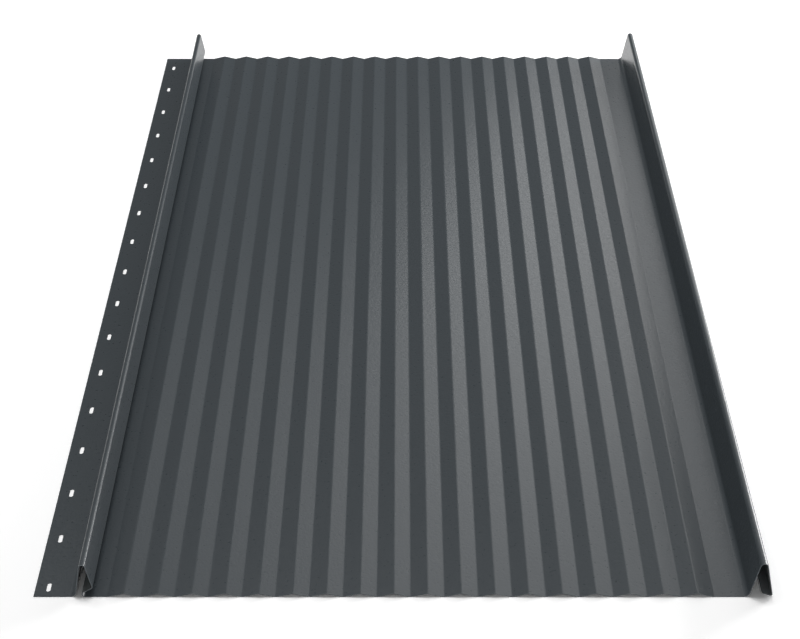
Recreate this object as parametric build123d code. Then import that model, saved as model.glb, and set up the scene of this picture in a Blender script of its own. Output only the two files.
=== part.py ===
from build123d import *
import math
import os

# Self-locking standing-seam roof panel with a finely corrugated pan, roll-formed
# from one coated steel strip. Millimetres. X runs across the panel from the nail
# strip to the covering rib, Y runs along its length and Z is up from the floor
# that it lies on.

# The sheet
panel_length = 832.0
sheet_thickness = 0.5

# Nail strip, flat on the deck
strip_width = 29.1

# Row of nail slots along the strip
slot_length = 8.5
slot_width = 3.0
slot_pitch = 50.0
slot_row_from_edge = 9.3
first_slot_from_end = 9.2

# Inner rib, which the covering rib of the next panel snaps over. Heights are those
# of the sheet's middle line above its own middle line in the pan.
inner_rib_height = 29.4
matching_lean = 10.4
inner_rib_pan_side_lean = 10.2
inner_rib_top_radius = 2.1
rib_top_flat = 0.05
inner_rib_foot_radius = 5.0
bulge_height = 8.2
bulge_radius = 2.0
groove_slope = 31.0
groove_radius = 2.2

# Pan, with low waves between two flats
inner_flat_width = 23.0
wave_pitch = 23.4
wave_count = 18
wave_height = 2.9
wave_radius = 3.5
outer_flat_width = 23.6

# Covering rib, with a hook that snaps under the bulge of the last panel's inner rib
seam_clearance = 1.1
bend_clearance = 0.05
cover_rib_outer_lean = 12.4
hook_fold_height = 0.6
hook_radius = 1.0
hook_inset = 7.5
hook_edge_below_bulge = 4.6


def run(height, lean):
    """Sideways run of a leg that climbs a height at a lean from upright, in degrees."""
    return height * math.tan(math.radians(lean))


def rib_top_width(radius, left_lean, right_lean):
    """Width of a rib's top from corner to corner: a small flat between its two bends."""
    bends = [math.tan(math.radians(90 - lean) / 2) for lean in (left_lean, right_lean)]
    return rib_top_flat + radius * sum(bends)


def bent_line():
    """Corners of the sheet's middle line, from the strip's edge to the hook, with their radii."""
    x = 0.0
    corners = [(x, 0.0)]
    radii = []

    def bend(step, height, radius):
        nonlocal x
        x += step
        corners.append((x, height))
        radii.append(radius)

    # nail strip, up to the foot of the inner rib
    bend(strip_width, 0.0, inner_rib_foot_radius)

    # inner rib, with the snap groove below its bulge
    top_width = rib_top_width(inner_rib_top_radius, matching_lean, inner_rib_pan_side_lean)
    bend(run(inner_rib_height, matching_lean), inner_rib_height, inner_rib_top_radius)
    bend(top_width, inner_rib_height, inner_rib_top_radius)
    bend(run(inner_rib_height - bulge_height, inner_rib_pan_side_lean), bulge_height, bulge_radius)
    bend(-run(bulge_height, 90 - groove_slope), 0.0, groove_radius)

    # corrugated pan, whose last corner sits in the foot of the next panel's inner rib
    bend(inner_flat_width, 0.0, wave_radius)
    for _ in range(wave_count):
        bend(wave_pitch / 2, wave_height, wave_radius)
        bend(wave_pitch / 2, 0.0, wave_radius)
    bend(outer_flat_width, 0.0, inner_rib_foot_radius - sheet_thickness - bend_clearance)

    # covering rib, which fits over the inner one, with its hook's edge below the bulge
    cover_rib_height = inner_rib_height + seam_clearance
    top_radius = inner_rib_top_radius + sheet_thickness + bend_clearance
    top_width = rib_top_width(top_radius, matching_lean, cover_rib_outer_lean)
    outer_leg_drop = cover_rib_height - hook_fold_height
    bend(run(cover_rib_height, matching_lean), cover_rib_height, top_radius)
    bend(top_width, cover_rib_height, top_radius)
    bend(run(outer_leg_drop, cover_rib_outer_lean), hook_fold_height, hook_radius)
    corners.append((x - hook_inset, bulge_height - hook_edge_below_bulge))
    return corners, radii


def face_line(corners, radii, offset):
    """One face of the sheet: the bent line moved to its left by an offset, each bend rounded."""
    points = [Vector(*corner) for corner in corners]
    headings = [(end - start).normalized() for start, end in zip(points, points[1:])]
    lefts = [Vector(-heading.Y, heading.X) for heading in headings]

    moved = [points[0] + lefts[0] * offset]
    moved_radii = []
    for index, radius in enumerate(radii):
        before = lefts[index]
        after = lefts[index + 1]
        moved.append(points[index + 1] + (before + after) * (offset / (1 + before.dot(after))))
        turns_left = headings[index].cross(headings[index + 1]).Z > 0
        moved_radii.append(radius - offset if turns_left else radius + offset)
    moved.append(points[-1] + lefts[-1] * offset)
    return FilletPolyline(*moved, radius=moved_radii)


def sheet_section():
    """Cross section of the whole panel, as thick as the sheet along every bend."""
    corners, radii = bent_line()
    top_face = face_line(corners, radii, sheet_thickness / 2)
    bottom_face = face_line(corners, radii, -sheet_thickness / 2)
    cut_edges = [Line(top_face @ 0, bottom_face @ 0), Line(top_face @ 1, bottom_face @ 1)]
    return make_face([*top_face.edges(), *bottom_face.edges(), *cut_edges])


def nail_slots():
    """Cutters for the row of slots, as many as fit whole on the strip, long way along it."""
    slot = SlotOverall(slot_length, slot_width, rotation=90)
    cutter = extrude(slot, amount=2 * sheet_thickness, both=True)
    room = panel_length - first_slot_from_end - slot_length / 2
    return [
        Pos(slot_row_from_edge, first_slot_from_end + number * slot_pitch, 0) * cutter
        for number in range(int(room // slot_pitch) + 1)
    ]


def roof_panel():
    """The panel, with its origin under the middle of its overall width and length."""
    panel = extrude(Plane.XZ * sheet_section(), amount=-panel_length)
    panel -= nail_slots()
    box = panel.bounding_box()
    return Pos(-box.center().X, -box.center().Y, -box.min.Z) * panel


panel = roof_panel()
print("solids", len(panel.solids()), "size", panel.bounding_box().size)
print("width of the flat strip before forming", round(face_line(*bent_line(), 0).length, 1))

os.makedirs("parts", exist_ok=True)
export_step(panel, "parts/roof_panel.step")
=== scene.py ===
import math

import bpy
from mathutils import Matrix, Vector


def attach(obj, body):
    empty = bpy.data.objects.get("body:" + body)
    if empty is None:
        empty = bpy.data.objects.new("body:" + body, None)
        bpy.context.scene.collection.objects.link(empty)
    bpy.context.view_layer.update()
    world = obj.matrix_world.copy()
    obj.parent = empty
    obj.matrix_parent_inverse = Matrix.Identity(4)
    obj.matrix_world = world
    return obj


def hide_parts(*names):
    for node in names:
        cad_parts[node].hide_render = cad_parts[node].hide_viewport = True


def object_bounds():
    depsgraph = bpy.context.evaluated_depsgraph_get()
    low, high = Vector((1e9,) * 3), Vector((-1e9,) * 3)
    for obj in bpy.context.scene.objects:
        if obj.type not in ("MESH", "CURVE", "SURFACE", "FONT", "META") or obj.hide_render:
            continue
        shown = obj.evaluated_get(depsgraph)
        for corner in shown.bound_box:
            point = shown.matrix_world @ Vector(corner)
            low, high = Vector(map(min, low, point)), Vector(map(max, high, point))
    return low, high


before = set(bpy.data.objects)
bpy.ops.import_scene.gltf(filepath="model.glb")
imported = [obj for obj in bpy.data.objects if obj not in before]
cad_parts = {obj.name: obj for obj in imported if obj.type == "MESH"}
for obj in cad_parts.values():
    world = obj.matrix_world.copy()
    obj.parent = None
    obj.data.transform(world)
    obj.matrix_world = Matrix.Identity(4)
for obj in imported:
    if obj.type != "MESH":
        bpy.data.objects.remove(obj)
cad_low, cad_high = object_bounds()

# The strip of steel that the panel is rolled from, in millimetres. Its middle line
# across the panel is a list of corners, each with its bend radius, and every part
# of the section below adds its own, from the nail strip to the covering rib.
MM = 0.001
sheet_thickness = 0.5
corners = []
bend_radii = []


def add_corner(step, height, radius=0.0):
    """Puts the next corner a step to the right of the last one, at a height over the pan."""
    last_x = corners[-1].x if corners else 0.0
    corners.append(Vector((last_x + step, 0.0, height)))
    bend_radii.append(radius)


def run(height, lean):
    """Sideways run of a leg that climbs a height at a lean from upright, in degrees."""
    return height * math.tan(math.radians(lean))


def rib_top_width(radius, left_lean, right_lean):
    """Width of a rib's top from corner to corner: a small flat between its two bends."""
    bends = [math.tan(math.radians(90 - lean) / 2) for lean in (left_lean, right_lean)]
    return rib_top_flat + radius * sum(bends)


# Nail strip: the flat edge that is nailed to the deck, through the slots that
# are punched in it before the sheet is rolled.
strip_width = 29.1
inner_rib_foot_radius = 5.0
add_corner(0.0, 0.0)
add_corner(strip_width, 0.0, inner_rib_foot_radius)

# Inner rib: an open fold that the next panel's covering rib goes over, with a
# bulge and a snap groove low on its pan side.
inner_rib_height = 29.4
matching_lean = 10.4
inner_rib_pan_side_lean = 10.2
inner_rib_top_radius = 2.1
rib_top_flat = 0.05
bulge_height = 8.2
bulge_radius = 2.0
groove_slope = 31.0
groove_radius = 2.2
top_width = rib_top_width(inner_rib_top_radius, matching_lean, inner_rib_pan_side_lean)
add_corner(run(inner_rib_height, matching_lean), inner_rib_height, inner_rib_top_radius)
add_corner(top_width, inner_rib_height, inner_rib_top_radius)
add_corner(run(inner_rib_height - bulge_height, inner_rib_pan_side_lean), bulge_height, bulge_radius)
add_corner(-run(bulge_height, 90 - groove_slope), 0.0, groove_radius)

# Pan: two flats with eighteen low waves between them, which the tree below makes.
inner_flat_width = 23.0
wave_pitch = 23.4
wave_count = 18
wave_height = 2.9
wave_radius = 3.5
outer_flat_width = 23.6
bend_clearance = 0.05
pan_corner_radius = inner_rib_foot_radius - sheet_thickness - bend_clearance
add_corner(inner_flat_width, 0.0, wave_radius)
corners_before_waves = len(corners)
add_corner(wave_count * wave_pitch, 0.0, wave_radius)
add_corner(outer_flat_width, 0.0, pan_corner_radius)

# Covering rib: as much taller as the seam needs, with a hook folded in at its
# foot that snaps into the groove of the last panel.
seam_clearance = 1.1
cover_rib_height = inner_rib_height + seam_clearance
cover_rib_top_radius = inner_rib_top_radius + sheet_thickness + bend_clearance
cover_rib_outer_lean = 12.4
hook_fold_height = 0.6
hook_radius = 1.0
hook_inset = 7.5
hook_edge_below_bulge = 4.6
top_width = rib_top_width(cover_rib_top_radius, matching_lean, cover_rib_outer_lean)
add_corner(run(cover_rib_height, matching_lean), cover_rib_height, cover_rib_top_radius)
add_corner(top_width, cover_rib_height, cover_rib_top_radius)
add_corner(run(cover_rib_height - hook_fold_height, cover_rib_outer_lean), hook_fold_height, hook_radius)
add_corner(-hook_inset, bulge_height - hook_edge_below_bulge)

# Finishes: the strip is coil-coated before it is rolled. Its face has a matt
# polyester coat, its back a thin service coat, and its sheared edges are bare.


def linear(hex_colour):
    """An sRGB hex colour as the linear RGBA that Blender's sockets take."""
    values = [int(hex_colour[index:index + 2], 16) / 255 for index in (1, 3, 5)]
    return [v / 12.92 if v <= 0.04045 else ((v + 0.055) / 1.055) ** 2.4 for v in values] + [1.0]


def add_node(tree, kind, inputs=None, **settings):
    """Adds a node with its settings. An input is a value, or the output that feeds it."""
    node = tree.nodes.new(kind)
    for name, value in settings.items():
        setattr(node, name, value)
    for name, value in (inputs or {}).items():
        if isinstance(value, bpy.types.NodeSocket):
            tree.links.new(value, node.inputs[name])
        else:
            node.inputs[name].default_value = value
    return node


def new_material(name):
    """A material with only an output node in its tree."""
    material = bpy.data.materials.new(name)
    material.use_nodes = True
    material.node_tree.nodes.clear()
    return material, material.node_tree, material.node_tree.nodes.new("ShaderNodeOutputMaterial")


def coil_coat(name, colour, roughness, unevenness, grain, depth):
    """Baked coat whose fine bumps and uneven gloss speckle its sheen. Sizes in millimetres."""
    material, tree, output = new_material(name)
    grains = add_node(tree, "ShaderNodeTexNoise", {
        "Vector": add_node(tree, "ShaderNodeTexCoord").outputs["Object"],
        "Scale": 1 / (grain * MM),
        "Detail": 2.0,
        "Roughness": 0.6,
    }).outputs["Fac"]
    bump = add_node(tree, "ShaderNodeBump", {
        "Height": grains,
        "Strength": 1.0,
        "Distance": depth * MM,
    })
    gloss = add_node(tree, "ShaderNodeMapRange", {
        "Value": grains,
        "From Min": 0.3,
        "From Max": 0.7,
        "To Min": roughness - unevenness,
        "To Max": roughness + unevenness,
    })
    coat = add_node(tree, "ShaderNodeBsdfPrincipled", {
        "Base Color": linear(colour),
        "Roughness": gloss.outputs["Result"],
        "Normal": bump.outputs["Normal"],
    })
    tree.links.new(coat.outputs["BSDF"], output.inputs["Surface"])
    return material


# Matt polyester, baked on the face. Dark anthracite with a broad soft sheen on the
# slopes that face the light. The real grain is under half a millimetre across and
# too fine to show, so it is drawn coarser, as faint speckle in the sheen.
grain_width = 2.4
face_coat = coil_coat(
    "anthracite_polyester_face",
    colour="#383E42",
    roughness=0.32,
    unevenness=0.05,
    grain=grain_width,
    depth=0.13,
)

# Epoxy service coat, baked thin on the back. A plain light grey, duller than the
# face and smoother, drawn with the same coarse grain.
back_coat = coil_coat(
    "grey_service_coat_back",
    colour="#7C8082",
    roughness=0.6,
    unevenness=0.05,
    grain=grain_width,
    depth=0.06,
)

# Galvanised steel, sheared through. A thin dull line of metal round the sheet
# and in the slots, with no polish of its own. Its colour is darker than bare zinc:
# partly the steel's own dull tone, partly painted shade for cut faces that face away
# from the lamps.
cut_edge, edge_tree, edge_output = new_material("sheared_galvanised_edge")
edge_metal = add_node(edge_tree, "ShaderNodeBsdfPrincipled", {
    "Base Color": linear("#5C6164"),
    "Metallic": 1.0,
    "Roughness": 0.5,
})
edge_tree.links.new(edge_metal.outputs["BSDF"], edge_output.inputs["Surface"])

# The panel: the whole strip, bent at its corners, cut to length and slotted.
# Geometry Nodes roll it: they add the waves to the corners, round every bend,
# draw the line out to the panel's length, give it its thickness and punch it.
bend_steps = 10
panel_length = 832.0
slot_length = 8.5
slot_width = 3.0
slot_pitch = 50.0
slot_count = 17
slot_row_from_edge = 9.3
first_slot_from_end = 9.2

sizes = {
    "Length": panel_length * MM,
    "Sheet thickness": sheet_thickness * MM,
    "Wave pitch": wave_pitch * MM,
    "Wave height": wave_height * MM,
    "Wave radius": wave_radius * MM,
    "Wave start": corners[corners_before_waves - 1].x * MM,
    "Slot length": slot_length * MM,
    "Slot width": slot_width * MM,
    "Slot pitch": slot_pitch * MM,
    "Slot row from edge": slot_row_from_edge * MM,
    "First slot from end": first_slot_from_end * MM,
}
counts = {"Waves": wave_count, "Slots": slot_count, "Bend steps": bend_steps}
finishes = {"Face": face_coat, "Back": back_coat, "Cut edge": cut_edge}

roll = bpy.data.node_groups.new("roll_formed_panel", "GeometryNodeTree")
roll.interface.new_socket("Geometry", in_out="INPUT", socket_type="NodeSocketGeometry")
roll.interface.new_socket("Geometry", in_out="OUTPUT", socket_type="NodeSocketGeometry")
for socket_type, names in (
    ("NodeSocketFloat", sizes),
    ("NodeSocketInt", counts),
    ("NodeSocketMaterial", finishes),
):
    for socket_name in names:
        roll.interface.new_socket(socket_name, in_out="INPUT", socket_type=socket_type)
given = roll.nodes.new("NodeGroupInput").outputs
result = roll.nodes.new("NodeGroupOutput").inputs["Geometry"]


def maths(operation, first, second=0.0):
    """The result of a sum on two numbers, or on a number and an output of the tree."""
    node = add_node(roll, "ShaderNodeMath", operation=operation)
    for socket, value in zip(node.inputs, (first, second)):
        if isinstance(value, bpy.types.NodeSocket):
            roll.links.new(value, socket)
        else:
            socket.default_value = value
    return node.outputs["Value"]


def vector(x=0.0, y=0.0, z=0.0):
    """A vector from three numbers or outputs."""
    return add_node(roll, "ShaderNodeCombineXYZ", {"X": x, "Y": y, "Z": z}).outputs["Vector"]


# waves: a line of points, every second one lifted to a crest
index = add_node(roll, "GeometryNodeInputIndex").outputs["Index"]
half_pitch = maths("MULTIPLY", given["Wave pitch"], 0.5)
points_in_waves = maths("MULTIPLY_ADD", given["Waves"], 2.0)
points_in_waves.node.inputs[2].default_value = 1.0
wave_line = add_node(roll, "GeometryNodeMeshLine", {
    "Count": points_in_waves,
    "Start Location": vector(given["Wave start"]),
    "Offset": vector(half_pitch),
}).outputs["Mesh"]
crest = maths("MULTIPLY", maths("MODULO", index, 2.0), given["Wave height"])
waves = add_node(roll, "GeometryNodeSetPosition", {
    "Geometry": wave_line,
    "Offset": vector(z=crest),
}).outputs["Geometry"]
waves = add_node(roll, "GeometryNodeStoreNamedAttribute", {
    "Geometry": waves,
    "Name": "bend_radius",
    "Value": given["Wave radius"],
}, data_type="FLOAT", domain="POINT").outputs["Geometry"]

# the whole middle line, with its bends rounded
line_weld = 0.01 * MM
joined = add_node(roll, "GeometryNodeJoinGeometry")
roll.links.new(waves, joined.inputs["Geometry"])
roll.links.new(given["Geometry"], joined.inputs["Geometry"])
whole = add_node(roll, "GeometryNodeMergeByDistance", {
    "Geometry": joined.outputs["Geometry"],
    "Distance": line_weld,
}).outputs["Geometry"]
line = add_node(roll, "GeometryNodeMeshToCurve", {"Mesh": whole}).outputs["Curve"]
radius = add_node(roll, "GeometryNodeInputNamedAttribute", {"Name": "bend_radius"}, data_type="FLOAT")
fillet = add_node(roll, "GeometryNodeFilletCurve", {
    "Curve": line,
    "Radius": radius.outputs["Attribute"],
    "Count": given["Bend steps"],
    "Limit Radius": True,
}, mode="POLY").outputs["Curve"]
rounded = add_node(roll, "GeometryNodeCurveToMesh", {"Curve": fillet}).outputs["Mesh"]

# drawn out to the panel's length, then given its thickness
surface = add_node(roll, "GeometryNodeExtrudeMesh", {
    "Mesh": rounded,
    "Offset": vector(y=given["Length"]),
    "Offset Scale": 1.0,
}, mode="EDGES").outputs["Mesh"]
normal = add_node(roll, "GeometryNodeInputNormal").outputs["Normal"]
half_thickness = maths("MULTIPLY", given["Sheet thickness"], 0.5)


def shifted(geometry, distance):
    """A sheet moved along its own normals."""
    offset = add_node(roll, "ShaderNodeVectorMath", {0: normal, "Scale": distance}, operation="SCALE")
    return add_node(roll, "GeometryNodeSetPosition", {
        "Geometry": geometry,
        "Offset": offset.outputs["Vector"],
    }).outputs["Geometry"]


# cutters for the row of slots, which reach as many sheet thicknesses over the middle
# of the strip as under it. Just under half the width rounds an end, because at a
# full half its two bends would meet in one point.
cutter_reach = 2.0
end_rounding = 0.4999
sheet_weld = 0.001 * MM
slot_outline = add_node(roll, "GeometryNodeCurvePrimitiveQuadrilateral", {
    "Width": given["Slot width"],
    "Height": given["Slot length"],
}).outputs["Curve"]
slot_rounded = add_node(roll, "GeometryNodeFilletCurve", {
    "Curve": slot_outline,
    "Radius": maths("MULTIPLY", given["Slot width"], end_rounding),
    "Count": given["Bend steps"],
    "Limit Radius": True,
}, mode="POLY").outputs["Curve"]
slot_face = add_node(roll, "GeometryNodeFillCurve", {"Curve": slot_rounded}, mode="NGONS").outputs["Mesh"]
slot_top = add_node(roll, "GeometryNodeExtrudeMesh", {
    "Mesh": slot_face,
    "Offset": vector(z=1.0),
    "Offset Scale": maths("MULTIPLY", given["Sheet thickness"], 2 * cutter_reach),
}, mode="FACES").outputs["Mesh"]
slot_bottom = add_node(roll, "GeometryNodeFlipFaces", {"Mesh": slot_face}).outputs["Mesh"]
slot_shell = add_node(roll, "GeometryNodeJoinGeometry")
roll.links.new(slot_top, slot_shell.inputs["Geometry"])
roll.links.new(slot_bottom, slot_shell.inputs["Geometry"])
slot_solid = add_node(roll, "GeometryNodeMergeByDistance", {
    "Geometry": slot_shell.outputs["Geometry"],
    "Distance": sheet_weld,
}).outputs["Geometry"]
slot_cutter = add_node(roll, "GeometryNodeSetMaterial", {
    "Geometry": slot_solid,
    "Material": given["Cut edge"],
}).outputs["Geometry"]
slot_row = add_node(roll, "GeometryNodeMeshLine", {
    "Count": given["Slots"],
    "Start Location": vector(
        given["Slot row from edge"],
        given["First slot from end"],
        maths("MULTIPLY", given["Sheet thickness"], -cutter_reach),
    ),
    "Offset": vector(y=given["Slot pitch"]),
}).outputs["Mesh"]
cutters = add_node(roll, "GeometryNodeInstanceOnPoints", {
    "Points": slot_row,
    "Instance": slot_cutter,
}).outputs["Instances"]
cutters = add_node(roll, "GeometryNodeRealizeInstances", {"Geometry": cutters}).outputs["Geometry"]

# the middle surface moved up to the face, drawn down through the thickness, and
# punched last, so that the walls of the slots keep the cutters' bare steel
top = shifted(surface, maths("MULTIPLY", half_thickness, -1.0))
coated = add_node(roll, "GeometryNodeSetMaterial", {
    "Geometry": top,
    "Material": given["Face"],
}).outputs["Geometry"]
thick = add_node(roll, "GeometryNodeExtrudeMesh", {
    "Mesh": coated,
    "Offset": normal,
    "Offset Scale": given["Sheet thickness"],
    "Individual": False,
}, mode="FACES")
backed = add_node(roll, "GeometryNodeSetMaterial", {
    "Geometry": thick.outputs["Mesh"],
    "Selection": thick.outputs["Top"],
    "Material": given["Back"],
}).outputs["Geometry"]
edged = add_node(roll, "GeometryNodeSetMaterial", {
    "Geometry": backed,
    "Selection": thick.outputs["Side"],
    "Material": given["Cut edge"],
}).outputs["Geometry"]
face_side = add_node(roll, "GeometryNodeFlipFaces", {"Mesh": coated}).outputs["Mesh"]
shell = add_node(roll, "GeometryNodeJoinGeometry")
roll.links.new(edged, shell.inputs["Geometry"])
roll.links.new(face_side, shell.inputs["Geometry"])
sheet = add_node(roll, "GeometryNodeMergeByDistance", {
    "Geometry": shell.outputs["Geometry"],
    "Distance": sheet_weld,
}).outputs["Geometry"]
punch = add_node(roll, "GeometryNodeMeshBoolean", {"Mesh 1": sheet}, operation="DIFFERENCE", solver="EXACT")
roll.links.new(cutters, punch.inputs["Mesh 2"])
roll.links.new(punch.outputs["Mesh"], result)

outline = bpy.data.meshes.new("middle_line")
edges = [(a, a + 1) for a in range(len(corners) - 1) if a != corners_before_waves - 1]
outline.from_pydata([corner * MM for corner in corners], edges, [])
radius_attribute = outline.attributes.new("bend_radius", "FLOAT", "POINT")
radius_attribute.data.foreach_set("value", [value * MM for value in bend_radii])
rolled = bpy.data.objects.new("rolled", outline)
bpy.context.scene.collection.objects.link(rolled)
modifier = rolled.modifiers.new("roll", "NODES")
modifier.node_group = roll
for item in roll.interface.items_tree:
    values = {**sizes, **counts, **finishes}
    if item.in_out == "INPUT" and item.name in values:
        modifier[item.identifier] = values[item.name]
bpy.context.view_layer.update()
evaluated = rolled.evaluated_get(bpy.context.evaluated_depsgraph_get())
panel_mesh = bpy.data.meshes.new_from_object(evaluated)
bpy.data.objects.remove(rolled)

# moved to where the frame has the panel, and smooth but for its sheared edges
mesh_low = Vector(min(vertex.co[axis] for vertex in panel_mesh.vertices) for axis in range(3))
panel_mesh.transform(Matrix.Translation(cad_low - mesh_low))
sharp_from_angle = 30
for polygon in panel_mesh.polygons:
    polygon.use_smooth = True
panel_mesh.set_sharp_from_angle(angle=math.radians(sharp_from_angle))
panel = bpy.data.objects.new("panel", panel_mesh)
bpy.context.scene.collection.objects.link(panel)

# each flat shaded flat, with the turn of the light kept to the bends
even_flats = panel.modifiers.new("even_flats", "WEIGHTED_NORMAL")
even_flats.keep_sharp = True
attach(panel, "root")
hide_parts("roof_panel")

# Studio: a white floor lit softly from all round. Light from low on the right and
# from behind lies along the right-hand slopes of the waves as their sheen.
floor_size = 40.0
floor_level = -0.05 * MM
half = floor_size / 2
floor_corners = [(x, y, floor_level) for x, y in ((-half, -half), (half, -half), (half, half), (-half, half))]
floor_mesh = bpy.data.meshes.new("floor")
floor_mesh.from_pydata(floor_corners, [], [(0, 1, 2, 3)])
floor = bpy.data.objects.new("floor", floor_mesh)
bpy.context.scene.collection.objects.link(floor)

# Matt white paper. Where it is seen or mirrored its tone is over 1, because the lamps
# light it a little under white, and past the panel's shadow it fades to plain white.
paper_lit = (0.8, 0.8, 0.8, 1.0)
paper_seen = (1.15, 1.15, 1.15, 1.0)
shadow_reach = 0.7
white_from = 1.6
paper, paper_tree, paper_output = new_material("white_paper_floor")
rays = add_node(paper_tree, "ShaderNodeLightPath").outputs
seen_or_mirrored = add_node(paper_tree, "ShaderNodeMath", {
    0: rays["Is Camera Ray"],
    1: rays["Is Glossy Ray"],
}, operation="MAXIMUM")
seen = add_node(paper_tree, "ShaderNodeMath", {
    0: seen_or_mirrored.outputs["Value"],
    1: rays["Is Transmission Ray"],
}, operation="MAXIMUM").outputs["Value"]
tone = add_node(paper_tree, "ShaderNodeMix", {"Factor": seen, 6: paper_lit, 7: paper_seen}, data_type="RGBA")
near_floor = add_node(paper_tree, "ShaderNodeBsdfDiffuse", {"Color": tone.outputs[2]})
far_floor = add_node(paper_tree, "ShaderNodeEmission", {"Strength": 1.0})
place = add_node(paper_tree, "ShaderNodeTexCoord").outputs["Object"]
distance = add_node(paper_tree, "ShaderNodeVectorMath", {0: place}, operation="LENGTH").outputs["Value"]
away = add_node(paper_tree, "ShaderNodeMapRange", {
    "Value": distance,
    "From Min": shadow_reach,
    "From Max": white_from,
    "To Max": seen,
}).outputs["Result"]
blend = add_node(paper_tree, "ShaderNodeMixShader", {
    0: away,
    1: near_floor.outputs["BSDF"],
    2: far_floor.outputs["Emission"],
})
paper_tree.links.new(blend.outputs["Shader"], paper_output.inputs["Surface"])
floor_mesh.materials.append(paper)

# the room, evenly dim, so that most of the light comes from the lamps
room_light = 0.17
world = bpy.data.worlds.new("studio")
bpy.context.scene.world = world
world.use_nodes = True
world.node_tree.nodes.clear()
white = (1.0, 1.0, 1.0, 1.0)
room = add_node(world.node_tree, "ShaderNodeBackground", {"Color": white, "Strength": room_light})
add_node(world.node_tree, "ShaderNodeOutputWorld", {"Surface": room.outputs["Background"]})

# square soft lamps turned to the panel's middle. Each stands on a bearing counted
# clockwise from straight behind the panel, at an angle over the floor and a distance,
# and has a side and a power, in degrees, metres and watts. The powers and the room's
# light were fitted to the light in the photo, and rounded.
for lamp_name, bearing, elevation, lamp_distance, lamp_side, lamp_power in (
    ("overhead", 0, 90, 2.4, 0.9, 24.0),
    ("front", 180, 35, 2.4, 0.9, 4.0),
    ("left", -90, 35, 2.4, 0.9, 4.0),
    ("high_left", -60, 60, 2.4, 0.9, 11.0),
    ("low_right", 60, 14, 1.7, 0.7, 24.0),
    ("behind_right", 30, 24, 1.2, 0.5, 1.7),
    ("above_right", 45, 48, 1.2, 0.5, 1.1),
    ("above_behind", 15, 48, 1.2, 0.5, 0.7),
):
    lamp_data = bpy.data.lights.new(lamp_name, "AREA")
    lamp_data.shape = "SQUARE"
    lamp_data.size = lamp_side
    lamp_data.energy = lamp_power
    lamp = bpy.data.objects.new(lamp_name, lamp_data)
    over_floor = lamp_distance * math.cos(math.radians(elevation))
    lamp.location = (
        over_floor * math.sin(math.radians(bearing)),
        over_floor * math.cos(math.radians(bearing)),
        lamp_distance * math.sin(math.radians(elevation)),
    )
    lamp.rotation_euler = (-lamp.location).to_track_quat("-Z", "Y").to_euler()
    bpy.context.scene.collection.objects.link(lamp)

# Camera: level, square to the panel's near end and tilted down on it. Its place, tilt
# and lens were fitted to the panel's edges, waves and slots in the photo.
camera_tilt_down = 35.02
camera_data = bpy.data.cameras.new("camera")
camera_data.lens = 76.5
camera_data.sensor_width = 36.0
camera = bpy.data.objects.new("camera", camera_data)
camera.location = (-0.0019, -1.2713, 0.8344)
camera.rotation_euler = (math.radians(90 - camera_tilt_down), 0.0, 0.0)
bpy.context.scene.collection.objects.link(camera)
bpy.context.scene.camera = camera
bpy.context.scene.view_settings.view_transform = "Standard"
